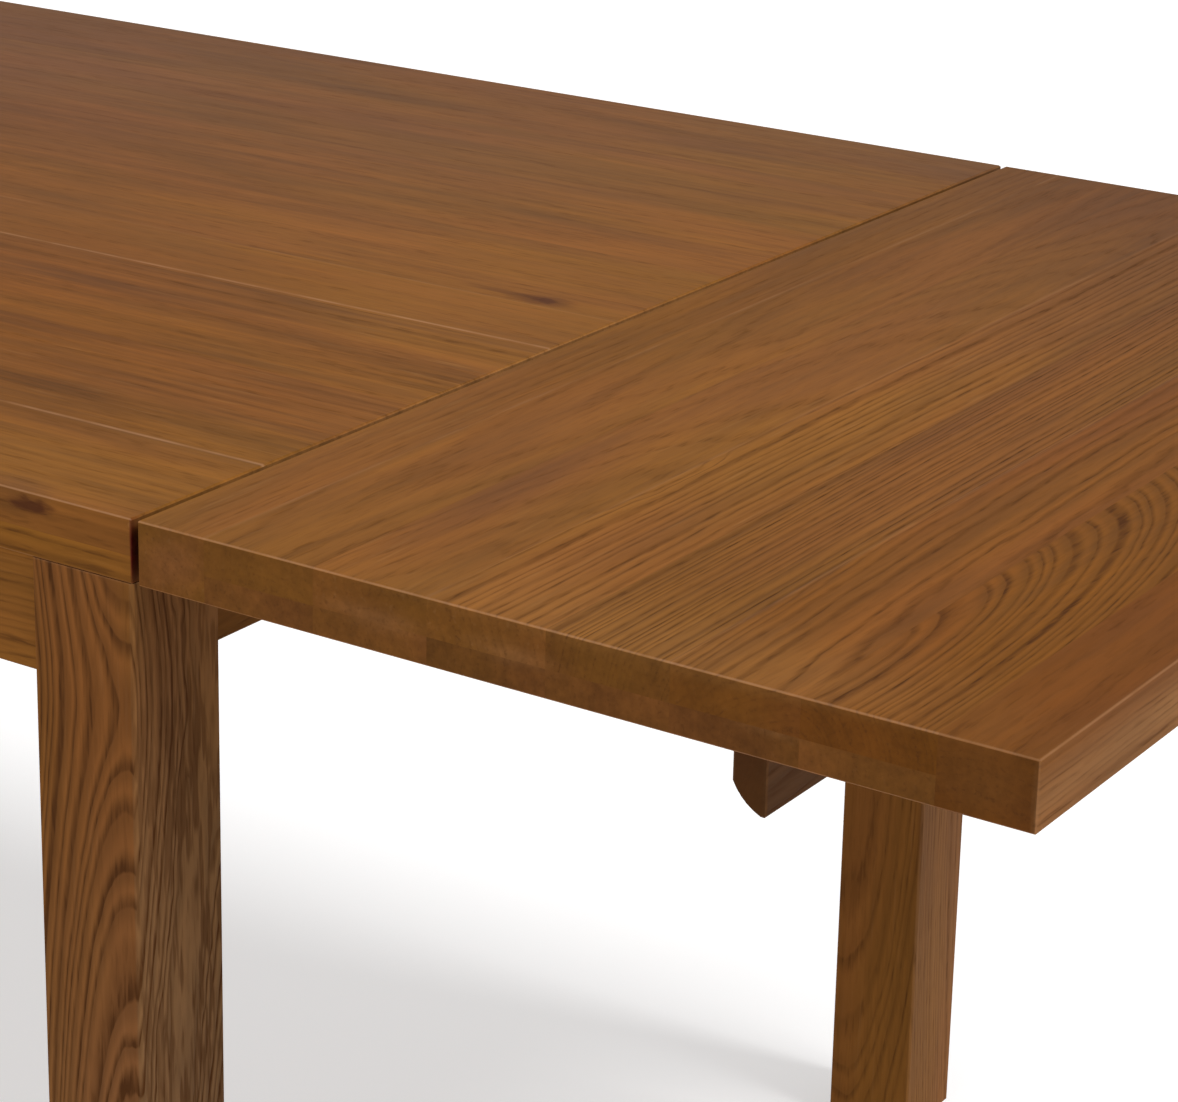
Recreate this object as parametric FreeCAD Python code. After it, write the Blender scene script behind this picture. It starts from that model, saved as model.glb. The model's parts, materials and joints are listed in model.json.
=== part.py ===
import FreeCAD
import Part
import math
import os

# Oak extending table: a fixed top on four square legs, and at each end a pull-out runner frame
# that carries a loose leaf. Millimetres. Origin on the floor under the middle of the table,
# +X along the table towards the right-hand leaf, +Y towards the back, +Z up.
# The table is shown with both runner frames drawn out and both leaves in place.

Vector = FreeCAD.Vector

# ---------------------------------------------------------------- driving dimensions
table_height = 760.0
top_length = 1800.0
top_width = 950.0

board_thick = 20.0          # boards of the top and the leaves
build_up = 15.0             # strips, blocks and battens glued or screwed under the boards
strip_width = 70.0          # how far the build-up reaches in from the edge
top_board_shares = (105, 131, 131, 75, 127, 127, 127, 127)   # board widths, front to back
top_arris = 1.0             # bevel along the upper edges
under_arris = 0.8           # bevel along the lower edges

leaf_length = 500.0
leaf_gap = 4.0              # open joint between the top and a leaf
leaf_inner_rail = 43.0      # full-thickness edge pieces of a leaf
leaf_outer_rail = 49.0
leaf_board_count = 6
leaf_batten_width = 70.0

leg_size = 68.0
leg_arris = 1.5
foot_bevel = 2.0
corner_flat = 12.0          # flat cut on a leg's inner corner for the corner block

apron_depth = 64.0
apron_thick = 22.0
side_setback = 3.0          # long aprons stand behind the legs' faces by this much
cross_rail_thick = 22.0
cross_rail_inset = 330.0    # from the end of the top to the cross rail's outer face
stub_tenon = 8.0
stub_tenon_thick = 12.0
stub_tenon_height = 40.0

frame_travel = 332.0        # how far a runner frame draws out
pull_rail_thick = 19.0
grip_height = 15.0          # rounded finger edge along the pull rail's inner lower corner
grip_land = 3.0
grip_bulge = 2.0
runner_width = 30.0
runner_height = 42.0
runner_inset = 185.0        # from the long edge of the top in to a runner's centre line
tail_bar_thick = 22.0
tenon_length = 10.0
tenon_width = 18.0
tenon_height = 26.0
guide_width = 18.0
keeper_thick = 12.0

slide_gap = 0.4             # above and below the runners, and between the tail bar and its stop
side_gap = 0.5              # each side of a runner
close_gap = 1.0             # between a closed pull rail and the end apron
rail_end_gap = 1.0          # between a closed pull rail and the legs
tenon_gap = 0.3

pin_radius = 4.0            # leaf pins that enter the end of the top
pin_reach = 14.0
pin_nose = 1.3              # bevel at the tip
pin_seat = 25.0             # depth in the leaf's inner rail
pin_seat_gap = 0.15
pin_gap = 0.3
pin_bore_spare = 2.0        # the bore is deeper than the pin reaches
pin_inset = 175.0           # from the long edge of the top to the outer pins
pin_sides = 16              # faces round a pin, bore or glide

block_height = 48.0         # corner blocks
block_thick = 28.0
bolt_radius = 4.0           # hanger bolts
bolt_in_leg = 45.0
bolt_beyond_block = 14.0
bolt_spacing = 26.0
bolt_gap = 0.15
bolt_sides = 12
block_bolt_gap = 0.5
washer_radius = 10.0
washer_thick = 1.6
nut_across_flats = 13.0
nut_thick = 6.5
nut_sides = 6

button_length = 30.0        # wooden buttons that hold the top to the aprons
button_width = 36.0
button_height = 22.0
tongue_length = 7.0
tongue_height = 7.4
groove_depth = 8.0
groove_height = 8.0
groove_below_top = 10.0
button_from_cross_rail = 32.0     # centre line to the cross rail's inner face
button_from_runner = 180.0        # centre line to the runner's, along the end apron

screw_radius = 2.0
screw_head_radius = 4.2
screw_head_height = 2.4
screw_gap = 0.15
screw_sides = 6
batten_screw = 28.0         # screw lengths
button_screw = 32.0
block_screw = 32.0
keeper_screw = 64.0
batten_screw_count = 3      # in each batten of the top; a leaf's battens have one in each board
screw_end_margin = 22.0     # from the end of a top batten to its first screw

glide_radius = 12.0
glide_thick = 4.0
glide_bevel = 1.0
glide_stem_radius = 2.5
glide_stem_length = 14.0

overcut = 1.0               # how far a cutting block runs past the piece it cuts

# ---------------------------------------------------------------- levels and lines worked out from them
half_length = top_length / 2
half_width = top_width / 2
board_under = table_height - board_thick
under_top = board_under - build_up
apron_bottom = under_top - apron_depth
end_setback = pull_rail_thick + close_gap

side_apron_outer = half_width - side_setback
side_apron_inner = side_apron_outer - apron_thick
end_apron_outer = half_length - end_setback
end_apron_inner = end_apron_outer - apron_thick
leg_inner_x = half_length - leg_size
leg_inner_y = half_width - leg_size

cross_outer = half_length - cross_rail_inset
cross_inner = cross_outer - cross_rail_thick
cross_middle = (cross_outer + cross_inner) / 2

runner_offset = half_width - runner_inset
runner_lines = (-runner_offset, runner_offset)
runner_top = under_top - slide_gap
runner_bottom = runner_top - runner_height
notch_bottom = runner_bottom - slide_gap
rail_outer = half_length + frame_travel
rail_inner = rail_outer - pull_rail_thick
tail_outer = cross_inner - slide_gap
tail_inner = tail_outer - tail_bar_thick

leaf_start = half_length + leaf_gap
leaf_end = leaf_start + leaf_length
leaf_field_start = leaf_start + leaf_inner_rail
leaf_field_end = leaf_end - leaf_outer_rail
pin_height = table_height - board_thick / 2
pin_lines = (pin_inset - half_width, 0.0, half_width - pin_inset)

side_button_line = cross_inner - button_from_cross_rail
end_button_line = runner_offset - button_from_runner
nut_radius = nut_across_flats / 2 / math.cos(math.pi / nut_sides)

os.makedirs("parts", exist_ok=True)


# ---------------------------------------------------------------- helpers
def block(x0, x1, y0, y1, z0, z1):
    """A rectangular piece between two corners."""
    return Part.makeBox(x1 - x0, y1 - y0, z1 - z0, Vector(x0, y0, z0))


def bevel(shape, size, chosen):
    """Bevel the straight edges for which chosen(middle, direction) is true."""
    edges = []
    for edge in shape.Edges:
        first = edge.Vertexes[0].Point
        last = edge.Vertexes[-1].Point
        middle = (first + last) * 0.5
        run = last - first
        if run.Length > 0 and chosen(middle, run.normalize()):
            edges.append(edge)
    return shape.makeChamfer(size, edges) if edges else shape


def near(a, b):
    return abs(a - b) < 1e-4


def along(direction, axis):
    return abs(getattr(direction, axis)) > 0.999


def drill(shape, tools):
    """Cut holes, only with the tools that reach this piece."""
    reach = [tool for tool in tools if tool.BoundBox.intersect(shape.BoundBox)]
    return shape.cut(reach) if reach else shape


def ring(radius, height, sides):
    """A closed polygon round the Z axis."""
    corners = [
        Vector(radius * math.cos(2 * math.pi * n / sides), radius * math.sin(2 * math.pi * n / sides), height)
        for n in range(sides)
    ]
    return Part.makePolygon(corners + corners[:1])


def turned(profile, sides, start, direction):
    """A faceted round piece through (radius, height) rings, from start along direction."""
    solid = Part.makeLoft([ring(radius, height, sides) for radius, height in profile], True, True)
    solid.Placement = FreeCAD.Placement(start, FreeCAD.Rotation(Vector(0, 0, 1), direction))
    return solid


def rod(start, direction, radius, length, sides):
    return turned([(radius, 0), (radius, length)], sides, start, direction)


def screw(start, direction, length, extra=0.0):
    """Countersunk wood screw with its head's face at start. extra widens it for its hole."""
    profile = [
        (screw_head_radius + extra, 0),
        (screw_radius + extra, screw_head_height),
        (screw_radius + extra, length + extra),
    ]
    return turned(profile, screw_sides, start, direction)


def screw_holes(places):
    return [screw(start, direction, length, screw_gap) for start, direction, length in places]


def flip_x(shape):
    return shape.mirror(Vector(0, 0, 0), Vector(1, 0, 0))


def flip_y(shape):
    return shape.mirror(Vector(0, 0, 0), Vector(0, 1, 0))


def both_sides(shape):
    """A front piece and its mirror image at the back."""
    return [shape, flip_y(shape)]


def four_corners(shape):
    """A front right piece and its images at the other three corners."""
    pair = both_sides(shape)
    return pair + [flip_x(piece) for piece in pair]


def save(name, pieces):
    shape = pieces[0] if len(pieces) == 1 else Part.makeCompound(pieces)
    shape.exportStep("parts/%s.step" % name)
    print("%-28s solids %2d  volume %12.1f  valid %s" % (name, len(shape.Solids), shape.Volume, shape.isValid()))


def spread(first, last, count):
    """count places evenly from first to last."""
    step = (last - first) / (count - 1)
    return [first + step * index for index in range(count)]


# ---------------------------------------------------------------- fasteners, whose holes the wood shares
def top_batten_middles():
    """Centre lines of the battens under the top: both ends, over both cross rails, and the middle."""
    end = half_length - strip_width / 2
    return [-end, -cross_middle, 0.0, cross_middle, end]


def top_batten_screw_places():
    inner = half_width - strip_width - screw_end_margin
    return [
        (Vector(x, y, under_top), Vector(0, 0, 1), batten_screw)
        for x in top_batten_middles()
        for y in spread(-inner, inner, batten_screw_count)
    ]


def leaf_batten_screw_places():
    """For the right-hand leaf: one into the middle of each board."""
    half_board = (leaf_field_end - leaf_field_start) / leaf_board_count / 2
    return [
        (Vector(x, y, under_top), Vector(0, 0, 1), batten_screw)
        for y in runner_lines
        for x in spread(leaf_field_start + half_board, leaf_field_end - half_board, leaf_board_count)
    ]


def button_places():
    """(x, y, direction from the apron into the table) of each top button, on the apron's inner face."""
    places = []
    for x in (-side_button_line, 0.0, side_button_line):
        places.append((x, -side_apron_inner, Vector(0, 1, 0)))
        places.append((x, side_apron_inner, Vector(0, -1, 0)))
    for y in (-end_button_line, end_button_line):
        places.append((end_apron_inner, y, Vector(-1, 0, 0)))
        places.append((-end_apron_inner, y, Vector(1, 0, 0)))
    return places


def button_screw_places():
    level = under_top - button_height
    places = []
    for x, y, inward in button_places():
        start = Vector(x, y, level) + inward * (button_length / 2)
        places.append((start, Vector(0, 0, 1), button_screw))
    return places


def block_screw_places():
    """Front right corner: one screw through each wing of the corner block into its apron."""
    flat_line = leg_inner_x + leg_inner_y + corner_flat
    wing = block_thick * math.sqrt(2)
    head_in = block_thick / 2
    side_x = flat_line - side_apron_inner - wing / 2
    end_y = flat_line - end_apron_inner - wing / 2
    level = (under_top + apron_bottom) / 2
    return [
        (Vector(side_x, head_in - side_apron_inner, level), Vector(0, -1, 0), block_screw),
        (Vector(end_apron_inner - head_in, -end_y, level), Vector(1, 0, 0), block_screw),
    ]


def keeper_screw_places():
    """Right-hand end, both runners: up through keeper and guide into the battens above."""
    level = notch_bottom - keeper_thick
    from_runner = runner_width / 2 + side_gap + guide_width / 2
    end_x = (end_apron_inner + half_length - strip_width) / 2
    inner_x = (cross_outer + cross_middle + strip_width / 2) / 2
    return [
        (Vector(x, y + way * from_runner, level), Vector(0, 0, 1), keeper_screw)
        for y in runner_lines
        for way, x in ((-1, inner_x), (1, end_x))
    ]


def bolt_axis():
    """Front right corner: middle of the leg's flat, and the direction from it into the table."""
    step = corner_flat / 2
    flat_middle = Vector(leg_inner_x + step, -leg_inner_y - step, (under_top + apron_bottom) / 2)
    inward = Vector(-1, 1, 0).normalize()
    return flat_middle, inward


def bolt_starts(distance):
    """Points on both bolts' axes, distance in from the leg's flat."""
    middle, inward = bolt_axis()
    return [middle + inward * distance + Vector(0, 0, rise) for rise in (-bolt_spacing / 2, bolt_spacing / 2)]


def bolt_holes(gap, first, last):
    inward = bolt_axis()[1]
    return [rod(start, inward, bolt_radius + gap, last - first, bolt_sides) for start in bolt_starts(first)]


# ---------------------------------------------------------------- fixed top
def make_top_boards():
    depth = pin_reach + pin_bore_spare
    bores = []
    for y in pin_lines:
        mouth = Vector(half_length, y, pin_height)
        bore = rod(mouth, Vector(-1, 0, 0), pin_radius + pin_gap, depth, pin_sides)
        bores += [bore, flip_x(bore)]
    holes = screw_holes(top_batten_screw_places())
    total = float(sum(top_board_shares))
    front = -half_width
    for number, share in enumerate(top_board_shares, 1):
        back = front + top_width * share / total
        board = block(-half_length, half_length, front, back, board_under, table_height)

        def upper_outer(middle, direction):
            if not near(middle.z, table_height):
                return False
            end = near(abs(middle.x), half_length) and along(direction, "y")
            side = near(abs(middle.y), half_width) and along(direction, "x")
            return end or side

        board = bevel(board, top_arris, upper_outer)
        save("top_board_%d" % number, [drill(board, bores + holes)])
        front = back


def make_top_strips():
    strip = block(-half_length, half_length, -half_width, strip_width - half_width, under_top, board_under)

    def lower_outer(middle, direction):
        if not near(middle.z, under_top):
            return False
        return near(abs(middle.x), half_length) or near(middle.y, -half_width)

    front, back = both_sides(bevel(strip, under_arris, lower_outer))
    holes = screw_holes(button_screw_places())
    save("top_strip_front", [drill(front, holes)])
    save("top_strip_back", [drill(back, holes)])


def make_top_battens():
    inner = half_width - strip_width
    holes = screw_holes(top_batten_screw_places() + button_screw_places())
    guides = screw_holes(keeper_screw_places())
    holes += guides + [flip_x(hole) for hole in guides]
    battens = []
    for middle_x in top_batten_middles():
        batten = block(middle_x - strip_width / 2, middle_x + strip_width / 2, -inner, inner, under_top, board_under)

        def lower_end(middle, direction):
            return near(abs(middle.x), half_length) and near(middle.z, under_top)

        battens.append(drill(bevel(batten, under_arris, lower_end), holes))
    save("top_battens", battens)


# ---------------------------------------------------------------- legs and frame
def make_legs():
    leg = block(leg_inner_x, half_length, -half_width, -leg_inner_y, glide_thick, under_top)
    leg = bevel(leg, leg_arris, lambda middle, direction: along(direction, "z"))
    leg = bevel(leg, foot_bevel, lambda middle, direction: near(middle.z, glide_thick))
    reach = corner_flat + overcut
    corner = [
        Vector(leg_inner_x - overcut, -leg_inner_y - reach, apron_bottom),
        Vector(leg_inner_x - overcut, overcut - leg_inner_y, apron_bottom),
        Vector(leg_inner_x + reach, overcut - leg_inner_y, apron_bottom),
    ]
    wedge = Part.Face(Part.makePolygon(corner + corner[:1])).extrude(Vector(0, 0, apron_depth))
    foot_middle = Vector(half_length - leg_size / 2, leg_size / 2 - half_width, glide_thick)
    stem = rod(
        foot_middle, Vector(0, 0, 1), glide_stem_radius + tenon_gap, glide_stem_length + tenon_gap, screw_sides
    )
    leg = leg.cut([wedge, stem] + bolt_holes(bolt_gap, -bolt_in_leg - overcut, 0))
    names = ("leg_front_right", "leg_back_right", "leg_front_left", "leg_back_left")
    for name, piece in zip(names, four_corners(leg)):
        save(name, [piece])


def runner_notches(x0, x1):
    """Slots in a rail's upper edge for both runners."""
    half = runner_width / 2 + side_gap
    return [
        block(x0, x1, y - half, y + half, notch_bottom, under_top + overcut)
        for y in runner_lines
    ]


def stub_tenons(gap):
    """Ends of the right-hand cross rail, let into the long aprons. gap widens them for the mortises."""
    half_thick = stub_tenon_thick / 2 + gap
    middle_z = (under_top + apron_bottom) / 2
    half_height = stub_tenon_height / 2 + gap
    tenon = block(
        cross_middle - half_thick, cross_middle + half_thick,
        -side_apron_inner - stub_tenon - gap, -side_apron_inner,
        middle_z - half_height, middle_z + half_height,
    )
    return both_sides(tenon)


def make_aprons():
    screws = block_screw_places()
    corner_holes = [hole for first in screw_holes(screws) for hole in four_corners(first)]
    mortises = stub_tenons(tenon_gap)
    mortises += [flip_x(mortise) for mortise in mortises]
    groove_top = under_top - groove_below_top

    side = block(-leg_inner_x, leg_inner_x, -side_apron_outer, -side_apron_inner, apron_bottom, under_top)
    side = bevel(side, under_arris, lambda m, d: near(m.z, apron_bottom) and along(d, "x"))
    side_groove = block(
        -leg_inner_x, leg_inner_x,
        -side_apron_inner - groove_depth, -side_apron_inner,
        groove_top - groove_height, groove_top,
    )
    front, back = both_sides(side.cut(side_groove))
    save("apron_front", [drill(front, corner_holes + mortises)])
    save("apron_back", [drill(back, corner_holes + mortises)])

    end = block(end_apron_inner, end_apron_outer, -leg_inner_y, leg_inner_y, apron_bottom, under_top)
    end = bevel(end, under_arris, lambda m, d: near(m.z, apron_bottom) and along(d, "y"))
    reach = end_button_line + button_width
    end_groove = block(
        end_apron_inner, end_apron_inner + groove_depth, -reach, reach, groove_top - groove_height, groove_top
    )
    notches = runner_notches(end_apron_inner - overcut, end_apron_outer + overcut)
    end = drill(end, [end_groove] + notches + corner_holes)
    save("apron_right", [end])
    save("apron_left", [flip_x(end)])


def make_cross_rails():
    rail = block(cross_inner, cross_outer, -side_apron_inner, side_apron_inner, apron_bottom, under_top)
    rail = rail.cut(runner_notches(cross_inner - overcut, cross_outer + overcut))
    rail = rail.fuse(stub_tenons(0.0)).removeSplitter()
    save("cross_rail_right", [rail])
    save("cross_rail_left", [flip_x(rail)])


def make_corner_blocks():
    outer_line = leg_inner_x + leg_inner_y + corner_flat
    inner_line = outer_line - block_thick * math.sqrt(2)
    low = (under_top + apron_bottom - block_height) / 2
    outline = [
        Vector(outer_line - side_apron_inner, -side_apron_inner, low),
        Vector(inner_line - side_apron_inner, -side_apron_inner, low),
        Vector(end_apron_inner, end_apron_inner - inner_line, low),
        Vector(end_apron_inner, end_apron_inner - outer_line, low),
    ]
    piece = Part.Face(Part.makePolygon(outline + outline[:1])).extrude(Vector(0, 0, block_height))
    head_ways = [
        rod(start, direction * -1, screw_head_radius + screw_gap, block_thick, screw_sides)
        for start, direction, length in block_screw_places()
    ]
    bolt_ways = bolt_holes(block_bolt_gap, -overcut, block_thick + overcut)
    holes = bolt_ways + screw_holes(block_screw_places()) + head_ways
    save("corner_blocks", four_corners(piece.cut(holes)))


def make_hanger_bolts():
    inward = bolt_axis()[1]
    length = bolt_in_leg + block_thick + bolt_beyond_block
    bolts = [rod(start, inward, bolt_radius, length, bolt_sides) for start in bolt_starts(-bolt_in_leg)]
    save("hanger_bolts", [image for bolt in bolts for image in four_corners(bolt)])


def hex_nut(start, direction):
    body = rod(start, direction, nut_radius, nut_thick, nut_sides)
    return body.cut(rod(start, direction, bolt_radius + bolt_gap, nut_thick, bolt_sides))


def make_hanger_nuts():
    inward = bolt_axis()[1]
    pieces = []
    for start in bolt_starts(block_thick):
        washer = rod(start, inward, washer_radius, washer_thick, bolt_sides)
        washer = washer.cut(rod(start, inward, bolt_radius + bolt_gap, washer_thick, bolt_sides))
        nut = hex_nut(start + inward * washer_thick, inward)
        pieces += four_corners(washer) + four_corners(nut)
    save("hanger_nuts", pieces)


def make_top_buttons():
    """Each has a tongue in its apron's groove and is screwed up into the top's build-up."""
    groove_top = under_top - groove_below_top
    middle = groove_top - groove_height / 2
    body = block(0, button_length, -button_width / 2, button_width / 2, under_top - button_height, under_top)
    tongue = block(
        -tongue_length, 0, -button_width / 2, button_width / 2, middle - tongue_height / 2, middle + tongue_height / 2
    )
    button = body.fuse(tongue).removeSplitter()
    holes = screw_holes(button_screw_places())
    pieces = []
    for x, y, inward in button_places():
        piece = button.copy()
        turn = FreeCAD.Rotation(Vector(1, 0, 0), inward)
        if inward.x < 0:
            turn = FreeCAD.Rotation(Vector(0, 0, 1), 180)
        piece.Placement = FreeCAD.Placement(Vector(x, y, 0), turn)
        pieces.append(drill(piece, holes))
    save("top_buttons", pieces)


def make_runner_guides():
    """Two side guides and a keeper for each runner, between the end apron and the cross rail."""
    inner = runner_width / 2 + side_gap
    holes = screw_holes(keeper_screw_places())
    pieces = []
    reach = inner + guide_width
    low = notch_bottom - keeper_thick
    for y in runner_lines:
        for near_side in (y - reach, y + inner):
            guide = block(cross_outer, end_apron_inner, near_side, near_side + guide_width, notch_bottom, under_top)
            pieces.append(drill(guide, holes))
        keeper = block(cross_outer, end_apron_inner, y - reach, y + reach, low, notch_bottom)
        pieces.append(drill(keeper, holes))
    save("runner_guides", pieces + [flip_x(piece) for piece in pieces])


def make_wood_screws():
    """Screws of the fixed table: battens, buttons, corner blocks and runner guides."""
    screws = [screw(*place) for place in top_batten_screw_places() + button_screw_places()]
    for place in block_screw_places():
        screws += four_corners(screw(*place))
    guides = [screw(*place) for place in keeper_screw_places()]
    save("wood_screws", screws + guides + [flip_x(piece) for piece in guides])


def make_floor_glides():
    foot = Vector(half_length - leg_size / 2, leg_size / 2 - half_width, 0)
    up = Vector(0, 0, 1)
    profile = [(glide_radius - glide_bevel, 0), (glide_radius, glide_bevel), (glide_radius, glide_thick)]
    stem = rod(foot + up * glide_thick, up, glide_stem_radius, glide_stem_length, screw_sides)
    save("floor_glides", four_corners(turned(profile, pin_sides, foot, up).fuse(stem)))


# ---------------------------------------------------------------- pull-out runner frames
def frame_tenons(gap, outer):
    """Tenons at a runner's outer or tail end, for both runners. gap widens them for the mortises."""
    middle_z = (runner_top + runner_bottom) / 2
    length = tenon_length + gap
    x0, x1 = (rail_inner, rail_inner + length) if outer else (tail_outer - length, tail_outer)
    half_wide = tenon_width / 2 + gap
    half_high = tenon_height / 2 + gap
    return [
        block(x0, x1, y - half_wide, y + half_wide, middle_z - half_high, middle_z + half_high)
        for y in runner_lines
    ]


def make_pull_rails():
    end = leg_inner_y - rail_end_gap
    grip_wide = pull_rail_thick - grip_land
    inner_low = Vector(rail_inner, -end, apron_bottom + grip_height)
    foot = Vector(rail_inner + grip_wide, -end, apron_bottom)
    across = Vector(-grip_height, 0, -grip_wide).normalize()
    crown = (inner_low + foot) * 0.5 + across * grip_bulge
    outline = Part.Wire([
        Part.LineSegment(Vector(rail_inner, -end, runner_top), inner_low).toShape(),
        Part.Arc(inner_low, crown, foot).toShape(),
        Part.LineSegment(foot, Vector(rail_outer, -end, apron_bottom)).toShape(),
        Part.LineSegment(Vector(rail_outer, -end, apron_bottom), Vector(rail_outer, -end, runner_top)).toShape(),
        Part.LineSegment(Vector(rail_outer, -end, runner_top), Vector(rail_inner, -end, runner_top)).toShape(),
    ])
    rail = Part.Face(outline).extrude(Vector(0, 2 * end, 0))
    rail = bevel(rail, under_arris, lambda m, d: near(m.x, rail_outer))
    rail = rail.cut(frame_tenons(tenon_gap, outer=True))
    save("pull_rail_right", [rail])
    save("pull_rail_left", [flip_x(rail)])


def make_runners():
    for number, name in enumerate(("front", "back")):
        y = runner_lines[number]
        runner = block(tail_outer, rail_inner, y - runner_width / 2, y + runner_width / 2, runner_bottom, runner_top)
        runner = bevel(runner, under_arris, lambda m, d: near(m.z, runner_bottom) and along(d, "x"))
        ends = [frame_tenons(0.0, outer)[number] for outer in (True, False)]
        runner = runner.fuse(ends).removeSplitter()
        save("runner_%s_right" % name, [runner])
        save("runner_%s_left" % name, [flip_x(runner)])


def make_tail_bars():
    """Ties the two runners together, and stops against the cross rail at full draw."""
    end = runner_offset + runner_width / 2
    bar = block(tail_inner, tail_outer, -end, end, runner_bottom, runner_top)
    bar = bar.cut(frame_tenons(tenon_gap, outer=False))
    save("tail_bar_right", [bar])
    save("tail_bar_left", [flip_x(bar)])


# ---------------------------------------------------------------- leaves
def leaf_edges(shape):
    """Bevel what lies on the leaf's outside: its upper, lower and upright edges."""
    def at_end(middle):
        return near(middle.x, leaf_start) or near(middle.x, leaf_end)

    def at_side(middle):
        return near(abs(middle.y), half_width)

    def upper(middle, direction):
        return near(middle.z, table_height) and (at_end(middle) or at_side(middle))

    def lower(middle, direction):
        return near(middle.z, under_top) and (at_end(middle) or at_side(middle))

    def upright(middle, direction):
        return along(direction, "z") and at_end(middle) and at_side(middle)

    return bevel(bevel(bevel(shape, top_arris, upper), under_arris, lower), under_arris, upright)


def save_leaf(name, pieces):
    save("leaf_right_" + name, pieces)
    save("leaf_left_" + name, [flip_x(piece) for piece in pieces])


def make_leaf_rails_and_boards():
    radius = pin_radius + pin_seat_gap
    seats = [
        rod(Vector(leaf_start, y, pin_height), Vector(1, 0, 0), radius, pin_seat + pin_seat_gap, pin_sides)
        for y in pin_lines
    ]
    inner = block(leaf_start, leaf_field_start, -half_width, half_width, under_top, table_height)
    save_leaf("inner_rail", [leaf_edges(inner).cut(seats)])
    outer = block(leaf_field_end, leaf_end, -half_width, half_width, under_top, table_height)
    save_leaf("outer_rail", [leaf_edges(outer)])
    holes = screw_holes(leaf_batten_screw_places())
    board_width = (leaf_field_end - leaf_field_start) / leaf_board_count
    for number in range(leaf_board_count):
        start = leaf_field_start + number * board_width
        board = block(start, start + board_width, -half_width, half_width, board_under, table_height)
        save_leaf("board_%d" % (number + 1), [drill(leaf_edges(board), holes)])


def make_leaf_blocks():
    """Short blocks that thicken the leaf's front and back edges, one under each board's end."""
    width = (leaf_field_end - leaf_field_start) / leaf_board_count
    pieces = []
    for number in range(leaf_board_count):
        start = leaf_field_start + number * width
        piece = block(start, start + width, -half_width, strip_width - half_width, under_top, board_under)
        pieces += both_sides(leaf_edges(piece))
    save_leaf("edge_blocks", pieces)


def make_leaf_battens():
    """Two battens across the boards, which rest on the runners."""
    holes = screw_holes(leaf_batten_screw_places())
    half = leaf_batten_width / 2
    pieces = [
        drill(block(leaf_field_start, leaf_field_end, y - half, y + half, under_top, board_under), holes)
        for y in runner_lines
    ]
    save_leaf("battens", pieces)
    save_leaf("batten_screws", [screw(*place) for place in leaf_batten_screw_places()])


def make_leaf_pins():
    length = pin_seat + leaf_gap + pin_reach
    profile = [(pin_radius - pin_nose, 0), (pin_radius, pin_nose), (pin_radius, length)]
    tips = [Vector(half_length - pin_reach, y, pin_height) for y in pin_lines]
    save_leaf("pins", [turned(profile, pin_sides, tip, Vector(1, 0, 0)) for tip in tips])


make_top_boards()
make_top_strips()
make_top_battens()
make_legs()
make_aprons()
make_cross_rails()
make_corner_blocks()
make_hanger_bolts()
make_hanger_nuts()
make_top_buttons()
make_runner_guides()
make_wood_screws()
make_floor_glides()
make_pull_rails()
make_runners()
make_tail_bars()
make_leaf_rails_and_boards()
make_leaf_blocks()
make_leaf_battens()
make_leaf_pins()
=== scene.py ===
import json
import math

import bmesh
import bpy
import numpy as np
from mathutils import Matrix, Vector


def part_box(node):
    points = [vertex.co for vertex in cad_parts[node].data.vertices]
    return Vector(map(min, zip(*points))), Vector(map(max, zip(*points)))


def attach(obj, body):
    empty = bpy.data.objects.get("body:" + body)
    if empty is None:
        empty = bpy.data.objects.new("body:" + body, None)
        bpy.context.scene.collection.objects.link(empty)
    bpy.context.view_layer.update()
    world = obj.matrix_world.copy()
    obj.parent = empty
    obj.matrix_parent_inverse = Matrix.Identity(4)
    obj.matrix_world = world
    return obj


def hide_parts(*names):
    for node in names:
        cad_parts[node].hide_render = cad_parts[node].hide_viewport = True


bl_info = {
    "name": "Extending oak table",
    "version": (1, 0, 0),
    "blender": (4, 5, 0),
    "location": "View3D > Sidebar > Table",
    "description": "Dresses an oak table with pull-out runner frames and two loose leaves",
    "category": "Object",
}

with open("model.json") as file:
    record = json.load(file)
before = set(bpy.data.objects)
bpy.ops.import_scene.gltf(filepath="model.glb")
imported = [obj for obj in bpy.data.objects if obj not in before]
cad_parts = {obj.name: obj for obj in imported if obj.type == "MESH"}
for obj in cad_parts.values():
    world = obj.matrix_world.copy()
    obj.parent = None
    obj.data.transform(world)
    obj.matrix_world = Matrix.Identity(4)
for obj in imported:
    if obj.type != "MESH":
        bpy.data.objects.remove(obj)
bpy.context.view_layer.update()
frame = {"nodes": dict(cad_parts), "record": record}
NODES = frame["nodes"]
BODY_OF = {node: body for body, nodes in frame["record"]["behaviour"]["bodies"].items() for node in nodes}


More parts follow.
